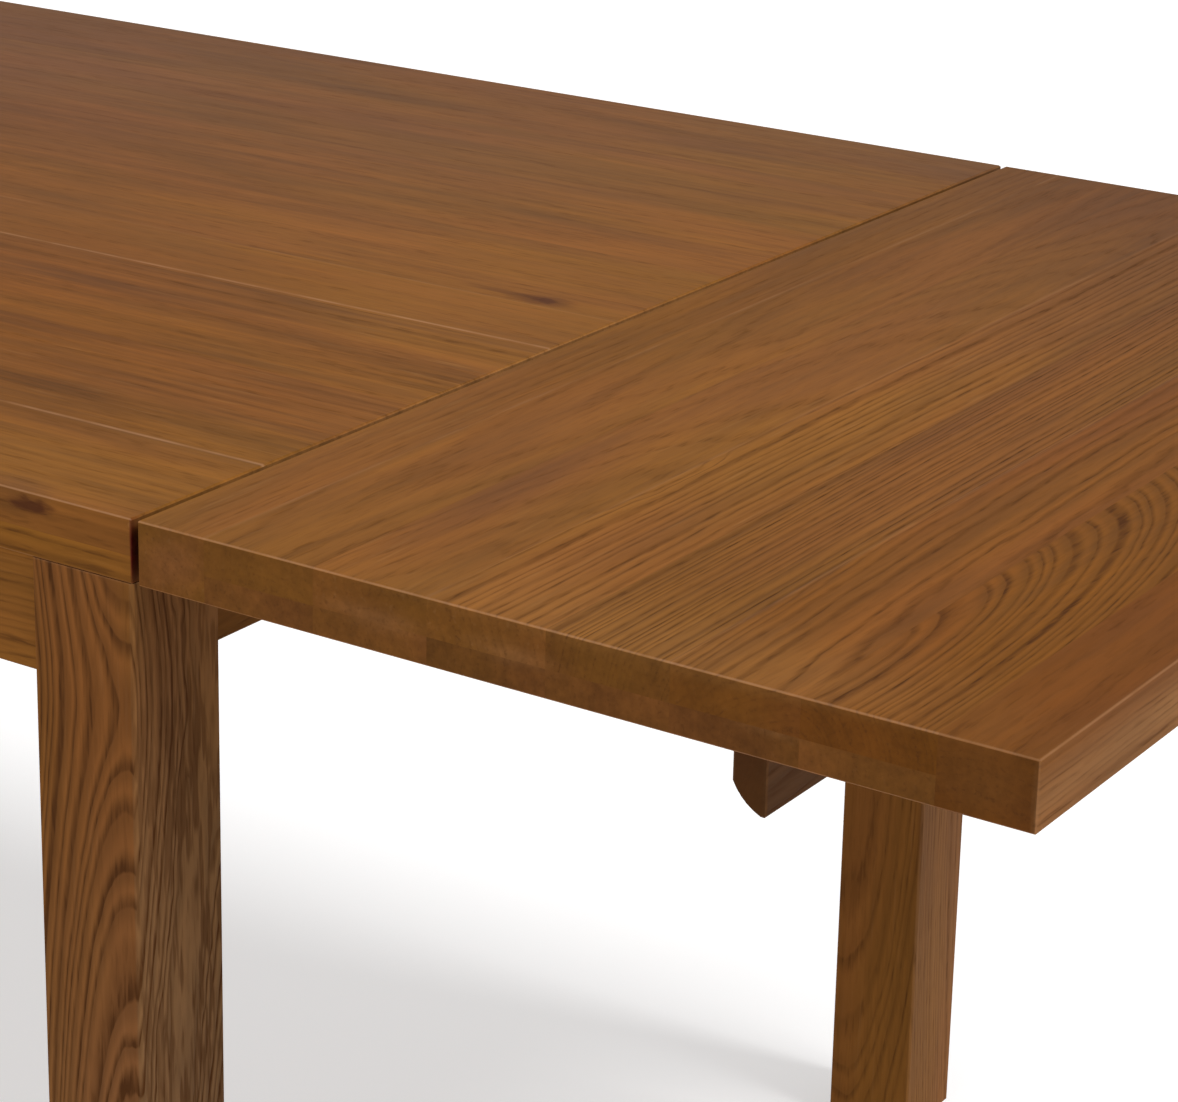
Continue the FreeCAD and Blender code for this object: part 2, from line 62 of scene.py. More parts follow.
# ---- settings
class OakSettings(bpy.types.PropertyGroup):
    """Colours and figure of the stained oak"""
    light: bpy.props.FloatVectorProperty(
        name="Wood", description="Stained wood between the pore lines", subtype="COLOR",
        default=(0.256, 0.1, 0.0165), min=0, max=1)
    warm: bpy.props.FloatVectorProperty(
        name="Warm streaks", description="Redder streaks along the grain", subtype="COLOR",
        default=(0.262, 0.096, 0.0195), min=0, max=1)
    pale: bpy.props.FloatVectorProperty(
        name="Pale streaks", description="Short pale streaks where less stain was taken up", subtype="COLOR",
        default=(0.36, 0.17, 0.055), min=0, max=1)
    dark: bpy.props.FloatVectorProperty(
        name="Pore lines", description="Stain gathered in the spring growth", subtype="COLOR",
        default=(0.085, 0.03, 0.008), min=0, max=1)
    knot: bpy.props.FloatVectorProperty(
        name="Knots", description="Dark wood of a knot", subtype="COLOR", default=(0.062, 0.016, 0.007), min=0, max=1)
    # The rubbed edges' colour also paints the highlight where light catches the eased edges.
    worn: bpy.props.FloatVectorProperty(
        name="Edges rubbed and lit", description="Stain rubbed thin along the edges, with a painted highlight", subtype="COLOR",
        default=(0.6, 0.33, 0.18), min=0, max=1)
    edge: bpy.props.FloatProperty(
        name="Edge width", description="Width of the rubbed and lit edge", unit="LENGTH", default=0.0012, min=0, max=0.01)
    joint: bpy.props.FloatProperty(
        name="Joint width", description="Width of a glued joint's line, to each side", unit="LENGTH",
        default=0.0022, min=0, max=0.01)
    roughness: bpy.props.FloatProperty(
        name="Roughness", description="Roughness of the oil finish", subtype="FACTOR", default=0.6, min=0, max=1)
    gloss: bpy.props.FloatProperty(
        name="Gloss", description="Specular level of the oil finish", subtype="FACTOR", default=0.04, min=0, max=1)
    relief: bpy.props.FloatProperty(
        name="Pore depth", description="Depth of the open pores", unit="LENGTH", default=0.00025, min=0, max=0.002)


class FastenerSettings(bpy.types.PropertyGroup):
    """Screws, bolts and glides"""
    steel: bpy.props.FloatVectorProperty(
        name="Steel", description="Zinc plated steel", subtype="COLOR", default=(0.56, 0.56, 0.53), min=0, max=1)
    plastic: bpy.props.FloatVectorProperty(
        name="Plastic", description="Floor glides", subtype="COLOR", default=(0.022, 0.022, 0.024), min=0, max=1)
    recess: bpy.props.FloatProperty(
        name="Recess", description="Width of a screw's cross recess, as a part of its head", subtype="FACTOR",
        default=0.62, min=0.2, max=0.9)
    screw_pitch: bpy.props.FloatProperty(
        name="Screw pitch", description="Thread pitch of the wood screws", unit="LENGTH", default=0.0018, min=0.0005)
    bolt_pitch: bpy.props.FloatProperty(
        name="Bolt pitch", description="Thread pitch of the hanger bolts", unit="LENGTH", default=0.00125, min=0.0005)


class StageSettings(bpy.types.PropertyGroup):
    """Floor, lamps and camera"""
    floor: bpy.props.FloatVectorProperty(
        name="Floor", description="Paper floor", subtype="COLOR", default=(0.78, 0.78, 0.78), min=0, max=1)
    floor_glow: bpy.props.FloatProperty(
        name="Floor lift", description="Lifts the floor towards white where it is seen", default=0.49, min=0)
    key: bpy.props.FloatProperty(
        name="Key lamp", description="Strength of the large lamp to the right", default=1.9, min=0)
    key_angle: bpy.props.FloatProperty(
        name="Key size", description="Angle that the large lamp fills", subtype="ANGLE",
        default=math.radians(20), min=0)
    front: bpy.props.FloatProperty(
        name="Front lamp", description="Power of the soft lamp in front", unit="POWER", default=40.0, min=0)
    side: bpy.props.FloatProperty(
        name="Side lamp", description="Power of the soft lamp at the table's right end", unit="POWER", default=8.0,
        min=0)
    air: bpy.props.FloatProperty(
        name="Room light", description="Even light from the room", default=0.32, min=0)
    lens: bpy.props.FloatProperty(
        name="Lens", description="Focal length of the camera", unit="CAMERA", default=104.15, min=1)
    drop: bpy.props.FloatProperty(
        name="Camera shift", description="How far the frame lies above the lens axis", subtype="FACTOR", default=-0.15,
        min=-1, max=1)


# ---- node wiring
class Value:
    """A value that a node tree works out. Python's signs for numbers add the nodes that reckon with it."""

    def __init__(self, wire, socket):
        self.wire, self.socket = wire, socket

    def __add__(self, other):
        return self.wire.math("ADD", self, other)

    def __sub__(self, other):
        return self.wire.math("SUBTRACT", self, other)

    def __rsub__(self, other):
        return self.wire.math("SUBTRACT", other, self)

    def __mul__(self, other):
        return self.wire.math("MULTIPLY", self, other)

    def __truediv__(self, other):
        return self.wire.math("DIVIDE", self, other)

    __radd__, __rmul__ = __add__, __mul__


class Wiring:
    """Adds nodes to a tree and joins them to the values that they are given."""

    def __init__(self, tree):
        self.tree = tree

    def put(self, socket, value):
        if isinstance(value, Value):
            self.tree.links.new(value.socket, socket)
        elif value is not None:
            socket.default_value = value

    def node(self, kind, values=None, **settings):
        """A new node, its inputs filled by name or number."""
        node = self.tree.nodes.new(kind)
        for key, value in settings.items():
            setattr(node, key, value)
        for key, value in (values or {}).items():
            self.put(node.inputs[key], value)
        return node

    def outputs(self, node):
        return {socket.name: Value(self, socket) for socket in node.outputs}

    def add(self, kind, values=None, out=0, **settings):
        """One output of a new node."""
        return Value(self, self.node(kind, values, **settings).outputs[out])

    def gather(self, kind, name, parts, values=None, **settings):
        """The same, for a node with an input that takes several parts."""
        node = self.node(kind, values, **settings)
        for part in parts:
            self.put(node.inputs[name], part)
        return Value(self, node.outputs[0])

    def math(self, operation, *values, clamp=False):
        return self.add("ShaderNodeMath", dict(enumerate(values)), operation=operation, use_clamp=clamp)

    def vector(self, operation, *values):
        out = "Value" if operation in ("DOT_PRODUCT", "LENGTH") else "Vector"
        return self.add("ShaderNodeVectorMath", dict(enumerate(values)), out, operation=operation)

    def scaled(self, vector, factor):
        return self.add("ShaderNodeVectorMath", {0: vector, "Scale": factor}, operation="SCALE")

    def combine(self, x, y, z):
        return self.add("ShaderNodeCombineXYZ", {"X": x, "Y": y, "Z": z})

    def split(self, vector):
        return list(self.outputs(self.node("ShaderNodeSeparateXYZ", {"Vector": vector})).values())

    def step(self, value, low, high, to_low=0.0, to_high=1.0):
        """A soft step from to_low to to_high while value goes from low to high."""
        return self.add("ShaderNodeMapRange", {
            "Value": value, "From Min": low, "From Max": high, "To Min": to_low, "To Max": to_high},
            "Result", interpolation_type="SMOOTHSTEP")

    def noise(self, position, scale, detail=2.0):
        return self.add("ShaderNodeTexNoise", {"Vector": position, "Scale": scale, "Detail": detail}, "Fac")

    def mix(self, factor, a, b):
        return self.add("ShaderNodeMix", {0: factor, 6: a, 7: b}, 2, data_type="RGBA", clamp_factor=True)

    def finish(self, shader, values, output="ShaderNodeOutputMaterial"):
        """The shader that the tree ends with, joined to its output."""
        self.node(output, {"Surface": self.add(shader, values)})

    def give(self, **results):
        """Ends a group with its results."""
        self.node("NodeGroupOutput", results)
        return self.tree


def cleared(block):
    """The wiring of a material or world, emptied of its nodes."""
    block.use_nodes = True
    block.node_tree.nodes.clear()
    return Wiring(block.node_tree)


def new_tree(name, kind, inputs, outputs):
    """A node tree with sockets named by kind; returns its wiring and the values that it is given."""
    tree = bpy.data.node_groups.new(name, kind)
    for way, sockets in (("INPUT", inputs), ("OUTPUT", outputs)):
        for socket_kind, names in sockets.items():
            for socket_name in names.split(", "):
                tree.interface.new_socket(name=socket_name, in_out=way, socket_type="NodeSocket" + socket_kind)
    wire = Wiring(tree)
    return wire, wire.outputs(wire.node("NodeGroupInput"))


# ---- shader groups
# What a piece's cut may say of its figure, with what holds where it says nothing.
FIGURE = dict(ring=0.004, bow=0.0, reach=0.1, wander=0.004, ripple=0.75, core=0.0, heart=0.0, lines=0.4, width=0.5,
              pores=0.35, streaks=0.16, glints=0.1, tone=1.0, seed=0.0)
CORE_REACH = 0.045      # how far from the pith the rings ripple more
SEED_STEP = (7.31, 3.17, 5.93)      # each seed takes its noise from another place


def oak_figure_group():
    """Growth rings round a pith line, with open pores and long streaks, cut by whatever surface meets them.

    Position runs along the grain in X, with the pith line on the X axis."""
    wire, given = new_tree("Oak figure", "ShaderNodeTree", {
        "Vector": "Position", "Color": "Wood, Warm, Pale", "Float": "End, Bend, Strokes, " + ", ".join(FIGURE).title(),
    }, {"Color": "Color", "Float": "Level, Line, Roughness, Height"})
    u, v, w = wire.split(given["Position"])
    place = wire.vector("ADD", given["Position"], wire.scaled(SEED_STEP, given["Seed"]))

    def grain(along, across, detail=1.0):
        """Noise drawn out along the grain."""
        return wire.noise(wire.vector("MULTIPLY", place, (along, across, across)), 1.0, detail)

    # How far from the bent pith line, which wanders and ripples.
    reach = given["Reach"]
    w = (wire.math("SQRT", u * u + reach * reach) - reach) * given["Bow"] + w
    squared = v * v + w * w
    radius = wire.math("SQRT", given["Heart"] * given["Heart"] + squared)
    core = wire.step(wire.math("SQRT", squared), 0.0, CORE_REACH, 1.0, 0.0) * given["Core"]
    ripple = (grain(17.0, 75.0, 2.0) - 0.5) * (given["Ripple"] + core)
    radius = ((grain(2.4, 11.0) - 0.5) * 3.0 + ripple) * given["Wander"] + radius + given["Bend"]

    # Rings of uneven width, each with its own line of spring growth, open pores and short strokes.
    turn = radius / given["Ring"] + given["Seed"]
    turn = wire.math("SINE", turn * 2.35) * 0.2 + wire.math("SINE", turn * 0.9) * 0.36 + turn
    phase = wire.math("FRACT", turn)
    vary = wire.add("ShaderNodeTexWhiteNoise", {"W": wire.math("FLOOR", turn)}, noise_dimensions="1D")
    spring = wire.step(phase, 0.0, 0.1) * wire.step(phase, 0.12, given["Width"], 1.0, 0.0)
    spring = spring * (vary * 0.55 + 0.55) * wire.step(grain(40.0, 300.0), 0.3, 0.6, 0.5, 1.0)
    pores = wire.step(grain(55.0, 540.0), 0.5, 0.68) * (spring * 0.65 + 0.35)
    stroke = wire.step(grain(27.0, 270.0), 0.47, 0.62)
    lines = given["Lines"] * (1.0 - given["End"] * 0.78)
    line = wire.math("MAXIMUM", spring * lines, stroke * given["Strokes"])
    line = wire.math("MULTIPLY_ADD", pores, given["Pores"], line, clamp=True)

    # Streaks along the grain, a second tone of wood, and glints.
    blotch, long_streak, fine_streak = grain(5.0, 34.0, 3.0), grain(1.1, 21.0, 2.0), grain(9.0, 190.0, 2.0)
    streak = (blotch - 0.5) * 2.5 + (long_streak - 0.5) * 1.6 + (fine_streak - 0.5) * 2.2
    comb = wire.math("COSINE", phase * math.tau)
    level = streak * given["Streaks"] + 1.0 - comb * lines * 0.14
    base = wire.mix(wire.step(grain(3.5, 14.0), 0.35, 0.68), given["Wood"], given["Warm"])
    glint = wire.step(grain(15.0, 270.0), 0.6, 0.78)
    return wire.give(
        Color=wire.mix(glint * given["Glints"], base, given["Pale"]), Line=line, Height=line * -1.0,
        Level=level * given["Tone"] * (1.0 - given["End"] * 0.3), Roughness=line * 0.18 + streak * 0.03)


def lit_and_rubbed_edge_group():
    """Lightens the edges of a box, where two of its faces are near, as rubbed stain and a painted highlight; its lower
    edges less than its upper ones.
    """
    wire, given = new_tree("Lit and rubbed edge", "ShaderNodeTree", {
        "Color": "Color, Worn", "Vector": "Position, Low, High", "Float": "Width, Strength"}, {"Color": "Color"})
    from_low = wire.split(wire.vector("SUBTRACT", given["Position"], given["Low"]))
    from_high = wire.split(wire.vector("SUBTRACT", given["High"], given["Position"]))
    near_x, near_y = [wire.step(wire.math("MINIMUM", from_low[i], from_high[i]), 0.0, given["Width"], 1.0, 0.0)
                      for i in (0, 1)]
    upper = wire.step(from_high[2], 0.0, given["Width"], 1.0, 0.0)
    lower = wire.step(from_low[2], 0.0, given["Width"], 0.3, 0.0)
    near_z = wire.math("MAXIMUM", upper, lower)
    edge = wire.math("MAXIMUM", near_x * near_y * 0.4, near_z * wire.math("MAXIMUM", near_x, near_y))
    edge = edge * wire.step(wire.noise(given["Position"], 38.0), 0.25, 0.6, 0.6, 1.0) * given["Strength"]
    return wire.give(Color=wire.mix(edge, given["Color"], given["Worn"]))


def joint_line_group():
    """A thin line along a glued joint, where the coordinate along Across reaches Place."""
    wire, given = new_tree("Joint line", "ShaderNodeTree", {
        "Color": "Color, Line", "Vector": "Position, Across", "Float": "Place, Width, Strength"}, {"Color": "Color"})
    away = wire.vector("DOT_PRODUCT", given["Position"], given["Across"]) - given["Place"]
    line = wire.step(wire.math("ABSOLUTE", away), 0.0, given["Width"], 1.0, 0.0)
    line = line * wire.step(wire.noise(given["Position"], 22.0), 0.3, 0.65, 0.25, 1.0) * given["Strength"]
    return wire.give(Color=wire.mix(line, given["Color"], given["Line"]))


def spot_group():
    """A soft ragged spot round a centre, for a knot or a place of another colour."""
    wire, given = new_tree("Spot", "ShaderNodeTree", {
        "Vector": "Position, Centre, Size", "Float": "Edge"}, {"Float": "Spot"})
    away = wire.vector("DIVIDE", wire.vector("SUBTRACT", given["Position"], given["Centre"]), given["Size"])
    ragged = wire.noise(wire.vector("DIVIDE", given["Position"], given["Size"]), 1.6) * 0.9 - 0.45
    return wire.give(Spot=wire.step(wire.vector("LENGTH", away) + ragged, given["Edge"], 1.0, 1.0, 0.0))


def separate_pieces_group():
    """A different number for each of the alike pieces in one node, told apart by where they lie."""
    wire, given = new_tree("Separate pieces", "ShaderNodeTree", {
        "Vector": "Position, Start, Pitch"}, {"Float": "Seed, Tone"})
    cell = wire.vector("DIVIDE", wire.vector("SUBTRACT", given["Position"], given["Start"]), given["Pitch"])
    told = wire.outputs(wire.node("ShaderNodeTexWhiteNoise", {"Vector": wire.vector("FLOOR", cell)}))
    return wire.give(Seed=told["Value"] * 9.0, Tone=wire.split(told["Color"])[0] * 0.24 + 0.88)


GROUP_MAKERS = {"Oak figure": oak_figure_group, "Lit and rubbed edge": lit_and_rubbed_edge_group, "Joint line": joint_line_group,
                "Spot": spot_group, "Separate pieces": separate_pieces_group}


def placed_group(wire, name, values):
    """The outputs of a node that uses one of the groups, which is built the first time it is asked for."""
    tree = bpy.data.node_groups.get(name) or GROUP_MAKERS[name]()
    return wire.outputs(wire.node("ShaderNodeGroup", values, node_tree=tree))


# ---- oak
AXES = {"X": Vector((1, 0, 0)), "Y": Vector((0, 1, 0)), "Z": Vector((0, 0, 1))}
KNOT_EDGE = 0.35        # a knot is full up to this part of its size, and a patch fades from its centre


def grain_turn(grain, face, tilt):
    """Turns X along the grain and Z towards the face; tilt leans the grain in the face, in degrees."""
    along, out = AXES[grain], Vector(face)
    turn = Matrix((along, out.cross(along), out)).transposed()
    return (turn @ Matrix.Rotation(math.radians(tilt), 3, "Z")).to_euler("XYZ")


def rgba(color, tint=(1.0, 1.0, 1.0)):
    return tuple(a * b for a, b in zip(color, tint)) + (1.0,)


def oak(node, grain="X", face=(0, 0, 1), pith=(0.0, 0.0, 0.0), tilt=0.0, strokes=None, knots=(), patches=(),
        joints=(), wear=0.2, edges_of=None, cells=None, mirrored=False, tint=(1.0, 1.0, 1.0), **cut):
    """Oak for one node.

    pith is a point on the line that the rings grew round; bow bends that line towards or away from the face.
    edges_of names the nodes whose edges are rubbed and lit as one block, the lightening partly a painted highlight;
    knots are (centre, size, darkness, how far they push the rings aside); patches are (centre, size, amount, colour);
    strokes are short dark lines at (centre, size, amount); joints are (axis, place, strength), dark where the strength
    is below zero; cells are (start, pitch) of the alike pieces in one node. The rest is as in FIGURE."""
    look = bpy.context.scene.table_oak
    material = bpy.data.materials.new("oak_" + node)
    wire = cleared(material)
    position = wire.add("ShaderNodeTexCoord", out="Object")
    turned = wire.add("ShaderNodeMapping", {
        "Vector": wire.vector("ABSOLUTE", position) if mirrored else position, "Location": pith,
        "Rotation": grain_turn(grain, face, tilt)}, vector_type="TEXTURE")
    normal = wire.add("ShaderNodeNewGeometry", out="Normal")
    end = wire.step(wire.math("ABSOLUTE", wire.vector("DOT_PRODUCT", normal, AXES[grain])), 0.8, 0.95)

    def spot(centre, size, amount=1.0, edge=0.0):
        values = {"Position": position, "Centre": centre, "Size": size, "Edge": edge}
        return placed_group(wire, "Spot", values)["Spot"] * amount

    values = {name.title(): value for name, value in {**FIGURE, **cut}.items()}
    if cells:
        told = placed_group(wire, "Separate pieces", {"Position": position, "Start": cells[0], "Pitch": cells[1]})
        values.update({"Seed": told["Seed"] + values["Seed"], "Tone": told["Tone"] * values["Tone"]})
    spots = [(spot(centre, size, edge=KNOT_EDGE), darkness, push) for centre, size, darkness, push in knots]
    figure = placed_group(wire, "Oak figure", {
        **values, "Position": turned, "End": end, "Bend": sum(dark * push for dark, _, push in spots),
        "Strokes": spot(*strokes) if strokes else 0.0, "Wood": rgba(look.light, tint),
        "Warm": rgba(look.warm, tint), "Pale": rgba(look.pale, tint)})

    color = figure["Color"]
    for centre, size, amount, paint in patches:
        color = wire.mix(spot(centre, size, amount), color, rgba(paint))
    color = wire.mix(figure["Line"], wire.scaled(color, figure["Level"]), rgba(look.dark))
    for dark, darkness, _ in spots:
        color = wire.mix(dark * darkness, color, rgba(look.knot))
    for axis, place, strength in joints:
        color = placed_group(wire, "Joint line", {
            "Color": color, "Position": position, "Across": AXES[axis], "Place": place, "Width": look.joint,
            "Strength": (1.0 - end) * abs(strength), "Line": rgba(look.worn if strength > 0 else look.dark)})["Color"]
    lows, highs = zip(*(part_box(node) for node in edges_of or [node]))
    # edges lightened as rubbed stain and as a painted highlight where light catches them
    color = placed_group(wire, "Lit and rubbed edge", {
        "Color": color, "Position": position, "Low": [min(axis) for axis in zip(*lows)],
        "High": [max(axis) for axis in zip(*highs)], "Width": look.edge, "Strength": wear,
        "Worn": rgba(look.worn)})["Color"]
    bump = wire.add("ShaderNodeBump", {"Strength": 0.6, "Distance": look.relief, "Height": figure["Height"]})
    wire.finish("ShaderNodeBsdfPrincipled", {
        "Base Color": color, "Roughness": figure["Roughness"] + look.roughness, "Normal": bump,
        "Specular IOR Level": look.gloss})
    return material


def dress(node, material):
    """Gives a node of the frame its material."""
    materials = NODES[node].data.materials
    materials.clear()
    materials.append(material)


# ---- cuts of the wood
TOP_PIECES = ["top_board_%d" % number for number in range(1, 9)] + ["top_strip_front", "top_strip_back"]
TOP_EDGE = TOP_PIECES + ["leaf_right_outer_rail", "leaf_left_outer_rail"]
FRONT, BACK, RIGHT, LEFT = (0, -1, 0), (0, 1, 0), (1, 0, 0), (-1, 0, 0)


def top_cuts():
    def joint(number, strength):
        """The joint between a board of the top and the next one back."""
        return ("Y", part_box("top_board_%d" % number)[1][1], strength)

    shade = (0.135, 0.056, 0.019)
    # Painted light and shade laid on every piece of the top: darker towards the back and the left, where the lamp
    # reaches least, two patches that make the middle darker and redder, a painted highlight at the top of the end and
    # painted shade in the gap at its front corner.
    painted_shading = (((0.0, 0.42, 0.76), (1.15, 0.75, 0.3), 0.52, (0.138, 0.062, 0.042)),     # where the lamp reaches least
           ((0.85, 0.48, 0.76), (0.5, 0.17, 0.1), 0.35, (0.15, 0.075, 0.048)),
           ((0.3, -0.05, 0.76), (0.45, 0.45, 0.3), 0.45, (0.185, 0.06, 0.006)),
           ((0.62, -0.25, 0.76), (0.34, 0.28, 0.1), 0.6, (0.185, 0.057, 0.007)),
           ((0.9, 0.02, 0.7565), (0.004, 0.7, 0.0045), 0.85, (0.51, 0.24, 0.085)),  # painted highlight at the top of the end, where the lamp reaches into the gap by the leaf
           # painted shade in the gap between the top's end and the leaf, on the front face
           ((0.9, -0.475, 0.742), (0.0016, 0.012, 0.04), 0.97, (0.085, 0.004, 0.004)))
    cuts = {
        "top_board_1": dict(
            pith=(0.3, -0.4, 0.66), ring=0.0052, lines=0.27, tone=1.01, seed=1.3, streaks=0.34,
            knots=(((0.833, -0.4752, 0.753), (0.02, 0.004, 0.0055), 0.8, 0.004),), joints=[joint(1, 0.42)],
            patches=(((0.82, -0.47, 0.76), (0.034, 0.02, 0.02), 0.55, shade),)),
        "top_board_2": dict(
            pith=(0.1, -0.35, 0.62), ring=0.0056, lines=0.22, tone=0.97, seed=2.9, streaks=0.38, glints=0.45,
            joints=[joint(1, 0.42)]),
        "top_board_3": dict(
            pith=(0.6, -0.19, 0.65), ring=0.006, lines=0.18, tone=0.98, seed=4.1, streaks=0.38, glints=0.4,
            joints=[joint(3, -0.3)], patches=(((0.55, -0.114, 0.76), (0.75, 0.016, 0.01), 0.5, shade),)),
        "top_board_4": dict(
            pith=(0.2, -0.11, 0.6), ring=0.0052, lines=0.08, tone=1.03, seed=5.7, streaks=0.2,
            joints=[("Y", -0.1035, 0.4), joint(4, 0.1)]),
        "top_board_5": dict(
            pith=(0.7, 0.05, 0.63), ring=0.006, lines=0.1, seed=6.2, streaks=0.28,
            knots=(((0.838, -0.0205, 0.76), (0.034, 0.0125, 0.004), 0.5, 0.004),
                   ((0.84, -0.0205, 0.76), (0.012, 0.0075, 0.004), 0.6, 0.0),
                   ((0.812, -0.019, 0.76), (0.045, 0.0055, 0.004), 0.4, 0.0)), joints=[joint(4, 0.1)]),
        "top_board_6": dict(
            pith=(0.5, 0.12, 0.61), ring=0.0058, lines=0.1, seed=7.9, streaks=0.26,
            patches=(((0.05, 0.16, 0.76), (0.5, 0.06, 0.01), 0.35, shade),)),
        # boards 7 and 8 lie at the back: their bluer tint greys them as a painted sheen, the room's light glancing off
        # the far top
        "top_board_7": dict(
            pith=(0.1, 0.3, 0.64), ring=0.006, lines=0.1, tone=0.95, seed=9.4, streaks=0.26,
            tint=(0.98, 1.02, 1.12)),
        "top_board_8": dict(
            pith=(0.4, 0.42, 0.6), ring=0.0054, lines=0.12, tone=0.92, seed=3.6, streaks=0.26,
            tint=(0.97, 1.02, 1.15)),
        "top_strip_front": dict(pith=(0.7, -0.4, 0.7), ring=0.0035, lines=0.42, seed=8.3, tint=(1.0, 1.02, 0.85)),
        "top_strip_back": dict(pith=(0.1, 0.41, 0.69), ring=0.0038, tone=0.95, seed=2.1),
        "top_battens": dict(
            grain="Y", pith=(0.02, 0.0, 0.66), ring=0.0045, lines=0.35, tone=0.8, seed=5.5, wear=0.0,
            cells=((-1.0, -1.0, 0.0), (0.3, 2.0, 2.0))),
    }
    for node in TOP_PIECES:
        cuts[node].update(edges_of=TOP_EDGE, wear=1.0, patches=cuts[node].get("patches", ()) + painted_shading)
    return cuts


FRAME_CUTS = {
    "leg_front_right": dict(
        grain="Z", face=FRONT, pith=(0.8955, -0.415, 0.655), bow=-0.17, reach=0.04, ring=0.0034, wander=0.0016,
        ripple=0.9, core=6.0, heart=0.036, lines=0.95, width=0.6, pores=0.4,
        strokes=((0.9, -0.44, 0.4), (0.004, 0.1, 0.9), 0.65), tone=0.86, seed=1.3, wear=0.12,
        tint=(0.98, 0.97, 1.15),
        # Painted light and shade on this leg: its lower part lighter, as if lit from the white floor; its right face
        # lighter, painted light; a painted shade band low on that right face.
        patches=(((0.9, -0.44, 0.2), (0.3, 0.3, 0.46), 0.5, (0.275, 0.135, 0.065)),
                 ((0.9, -0.44, 0.4), (0.004, 0.5, 0.8), 0.65, (0.27, 0.15, 0.064)),
                 ((0.9, -0.44, 0.34), (0.004, 0.5, 0.17), 0.45, (0.135, 0.07, 0.036)))),
    "leg_back_right": dict(
        grain="Z", face=FRONT, pith=(0.84, 0.5, 0.3), ring=0.0034, bow=0.1, reach=0.2, wander=0.002, lines=0.35,
        seed=3.3, wear=0.3, tint=(1.02, 1.06, 1.2),
        # painted light: the leg's right face lightened as if lit from the right
        patches=(((0.9, 0.44, 0.4), (0.004, 0.5, 0.8), 0.35, (0.26, 0.135, 0.075)),)),
    "leg_front_left": dict(
        grain="Z", face=FRONT, pith=(-0.85, -0.36, 0.3), ring=0.0032, bow=-0.12, reach=0.12, wander=0.003,
        lines=0.55, tone=0.92, seed=6.1, wear=0.3),
    "leg_back_left": dict(
        grain="Z", face=LEFT, pith=(-0.82, 0.44, 0.45), ring=0.003, bow=-0.12, reach=0.15, wander=0.003, lines=0.55,
        tone=0.9, seed=8.8, wear=0.3),
    "apron_front": dict(
        face=FRONT, pith=(0.5, -0.4, 0.62), bow=-0.05, lines=0.35, tone=0.95, seed=4.9, tint=(1.05, 1.04, 1.1)),
    "apron_back": dict(face=BACK, pith=(-0.3, 0.4, 0.68), ring=0.0042, bow=-0.06, tone=0.92, seed=7.3),
    # apron_right's low tone is painted shade from the leaf above it
    "apron_right": dict(grain="Y", face=RIGHT, pith=(0.8, 0.1, 0.69), bow=-0.05, tone=0.7, seed=2.4),
    "apron_left": dict(grain="Y", face=LEFT, pith=(-0.81, -0.1, 0.7), ring=0.0042, bow=-0.05, tone=0.9, seed=9.1),
    "cross_rail_right": dict(
        grain="Y", face=LEFT, pith=(0.62, 0.1, 0.68), bow=-0.06, tone=0.85, seed=3.8, wear=0.1),
    "cross_rail_left": dict(
        grain="Y", face=RIGHT, pith=(-0.61, 0.0, 0.7), ring=0.0044, bow=-0.05, tone=0.85, seed=5.2, wear=0.1),
    "corner_blocks": dict(
        pith=(0.9, 0.4, 0.62), lines=0.35, tone=0.85, seed=6.6, wear=0.0, tilt=-45.0,
        cells=((-1.0, -1.0, 0.0), (1.0, 1.0, 2.0)), mirrored=True),
    "top_buttons": dict(
        grain="Y", pith=(0.5, 0.0, 0.7), ring=0.003, lines=0.35, tone=0.95, seed=1.1, wear=0.0,
        cells=((-1.15, -1.0, 0.0), (0.3, 0.25, 2.0))),
    "runner_guides": dict(
        pith=(0.7, 0.3, 0.64), ring=0.0038, lines=0.35, tone=0.9, seed=7.7, wear=0.0,
        cells=((-1.0, -0.365, 0.6706), (1.0, 0.05, 0.012))),
}


def runner_frame_cuts(side):
    sign = 1 if side == "right" else -1
    out = (sign, 0, 0)
    cuts = {
        # The pull rail's low tone is painted shade from the leaf above it, and the patch on its outer face a painted
        # highlight.
        "pull_rail_" + side: dict(
            grain="Y", face=out, pith=(sign * 1.16, 0.0, 0.7), ring=0.0034, bow=-0.04, lines=0.55, tone=0.5,
            seed=2.6, wear=0.3, tint=(0.92, 0.92, 1.4),
            patches=(((sign * 1.232, 0.0, 0.68), (0.004, 1.0, 0.08), 0.35, (0.34, 0.19, 0.09)),)),
        "runner_front_" + side: dict(
            face=FRONT, pith=(sign * 0.9, -0.25, 0.7), ring=0.0036, bow=-0.03, tone=0.9, seed=3.4),
        "runner_back_" + side: dict(
            face=FRONT, pith=(sign * 0.8, 0.33, 0.68), ring=0.0038, bow=-0.04, tone=0.88, seed=4.7),
        "tail_bar_" + side: dict(
            grain="Y", face=out, pith=(sign * 0.49, 0.1, 0.7), lines=0.35, tone=0.86, seed=5.9, wear=0.1),
    }
    for cut in cuts.values():
        cut["seed"] += sign
    return cuts


STRIPPED = ("board_2", "board_3", "board_4", "edge_blocks")     # with pale strips along the front edge


